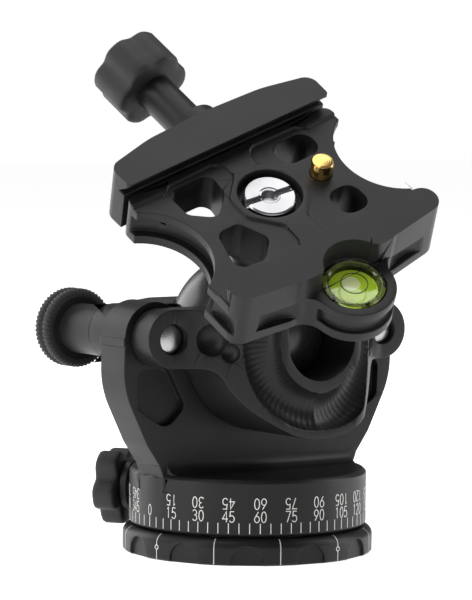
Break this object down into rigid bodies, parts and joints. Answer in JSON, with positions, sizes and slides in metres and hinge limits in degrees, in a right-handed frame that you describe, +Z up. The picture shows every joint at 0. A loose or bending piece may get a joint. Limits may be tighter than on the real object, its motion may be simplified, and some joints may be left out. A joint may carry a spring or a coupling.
{
  "type": "ball head",
  "caption": "Open-frame ball head: a ball held between bow jaws on a U frame, over a graduated panning base, with a tilted dovetail plate clamp.",
  "frame": {"origin": "centre of the base disc's underside, on the pan axis", "axes": "+Z up along the pan axis, +X from the tension knob's side of the frame to the pivot side, -Y the front, where the stem's drop slot opens"},
  "size_m": [0.0866, 0.0955, 0.124],
  "materials": {
    "anodised": "black anodised, satin",
    "ball_black": "black anodised, polished",
    "grip_rubber": "moulded, matt",
    "steel": "stainless, turned",
    "dark_steel": "blackened",
    "bare_aluminium": "turned",
    "spring_steel": "drawn wire",
    "bronze": "sintered",
    "brass_pin": "turned, bright",
    "white_plastic": "plain",
    "level_base": "plain",
    "level_clear": "clear acrylic",
    "level_green": "tinted spirit",
    "level_air": "air bubble",
    "level_print": "printed ring"
  },
  "bodies": {
    "base": {"base_disc": "anodised", "base_screws": "dark_steel", "tripod_insert": "steel", "pan_post": "bare_aluminium", "thrust_washer": "white_plastic"},
    "head": {"main_frame": "anodised", "pan_bush": "bronze", "retaining_screws": "dark_steel", "rear_jaw": "anodised", "pivot_bolt": "steel", "pivot_nut": "dark_steel", "tension_washer": "steel", "release_spring": "spring_steel"},
    "brake_shoe": {"pan_brake_shoe": "white_plastic"},
    "pan_lock": {"pan_lock_screw": "steel", "pan_lock_hub": "anodised", "pan_lock_knob": "grip_rubber"},
    "front_yoke": {"front_jaw": "anodised", "tension_bolt": "steel"},
    "tension_knob": {"tension_hub": "anodised", "tension_grip": "grip_rubber", "tension_cap": "grip_rubber"},
    "ball": {"ball": "ball_black"},
    "stem": {"stem": "anodised"},
    "clamp": {"clamp_body": "anodised", "clamp_screw": "steel", "stem_washer": "steel", "jaw_springs": "spring_steel", "level_seat": "level_base", "level_vial": "level_clear", "level_fluid": "level_green", "level_bubble": "level_air", "level_ring": "level_print", "detent_spring": "spring_steel", "detent_plug": "dark_steel"},
    "sliding_jaw": {"moving_jaw": "anodised", "guide_pins": "steel"},
    "clamp_knob": {"clamp_knob_washer": "steel", "clamp_knob_screw": "anodised", "clamp_knob_grip": "grip_rubber"},
    "detent": {"detent_pin": "brass_pin"}
  },
  "joints": [
    {"name": "pan", "type": "hinge", "parent": "base", "child": "head", "pos_m": [0, 0, 0.0133], "axis": [0, 0, 1], "continuous": true},
    {"name": "pan_lock_turn", "type": "hinge", "parent": "head", "child": "pan_lock", "pos_m": [0, 0, 0.01365], "axis": [-0.5592, 0.829, 0], "range_deg": [0, 270]},
    {"name": "brake_shoe_slide", "type": "slide", "parent": "head", "child": "brake_shoe", "axis": [-0.5592, 0.829, 0], "range_m": [0, 0.00035]},
    {"name": "tension_turn", "type": "hinge", "parent": "head", "child": "tension_knob", "pos_m": [-0.0308, 0.0296, 0.0524], "axis": [0, 1, 0], "range_deg": [0, 190]},
    {"name": "yoke_slide", "type": "slide", "parent": "head", "child": "front_yoke", "axis": [0, -1, 0], "range_m": [0, 0.0005]},
    {"name": "ball_tilt", "type": "hinge", "parent": "head", "child": "ball", "pos_m": [0, 0, 0.0524], "axis": [0.8829, -0.4695, 0], "range_deg": [-80, 2]},
    {"name": "ball_lean", "type": "hinge", "parent": "ball", "child": "stem", "pos_m": [0, 0, 0.0524], "axis": [0.3434, 0.6457, 0.682], "range_deg": [-10, 20]},
    {"name": "clamp_turn", "type": "hinge", "parent": "stem", "child": "clamp", "pos_m": [-0.01153, -0.02168, 0.07873], "axis": [-0.3202, -0.6022, 0.7314], "continuous": true},
    {"name": "clamp_knob_turn", "type": "hinge", "parent": "sliding_jaw", "child": "clamp_knob", "pos_m": [-0.02155, 0.00959, 0.10938], "axis": [-0.1767, 0.7964, 0.5784], "range_deg": [-95, 1060]},
    {"name": "jaw_slide", "type": "slide", "parent": "clamp", "child": "sliding_jaw", "axis": [-0.1767, 0.7964, 0.5784], "range_m": [-0.00038, 0.00438], "deforming": ["jaw_springs"]},
    {"name": "detent_press", "type": "slide", "parent": "clamp", "child": "detent", "axis": [-0.3202, -0.6022, 0.7314], "range_m": [-0.0034, 0], "stiffness_N_per_m": 250, "springref_m": 0.003, "deforming": ["detent_spring"]}
  ],
  "couplings": [
    {"joint": "brake_shoe_slide", "follows": "pan_lock_turn", "m_per_rad": 0.000063662},
    {"joint": "tension_turn", "follows": "yoke_slide", "rad_per_m": 6283.2},
    {"joint": "clamp_knob_turn", "follows": "jaw_slide", "rad_per_m": 4188.8}
  ]
}
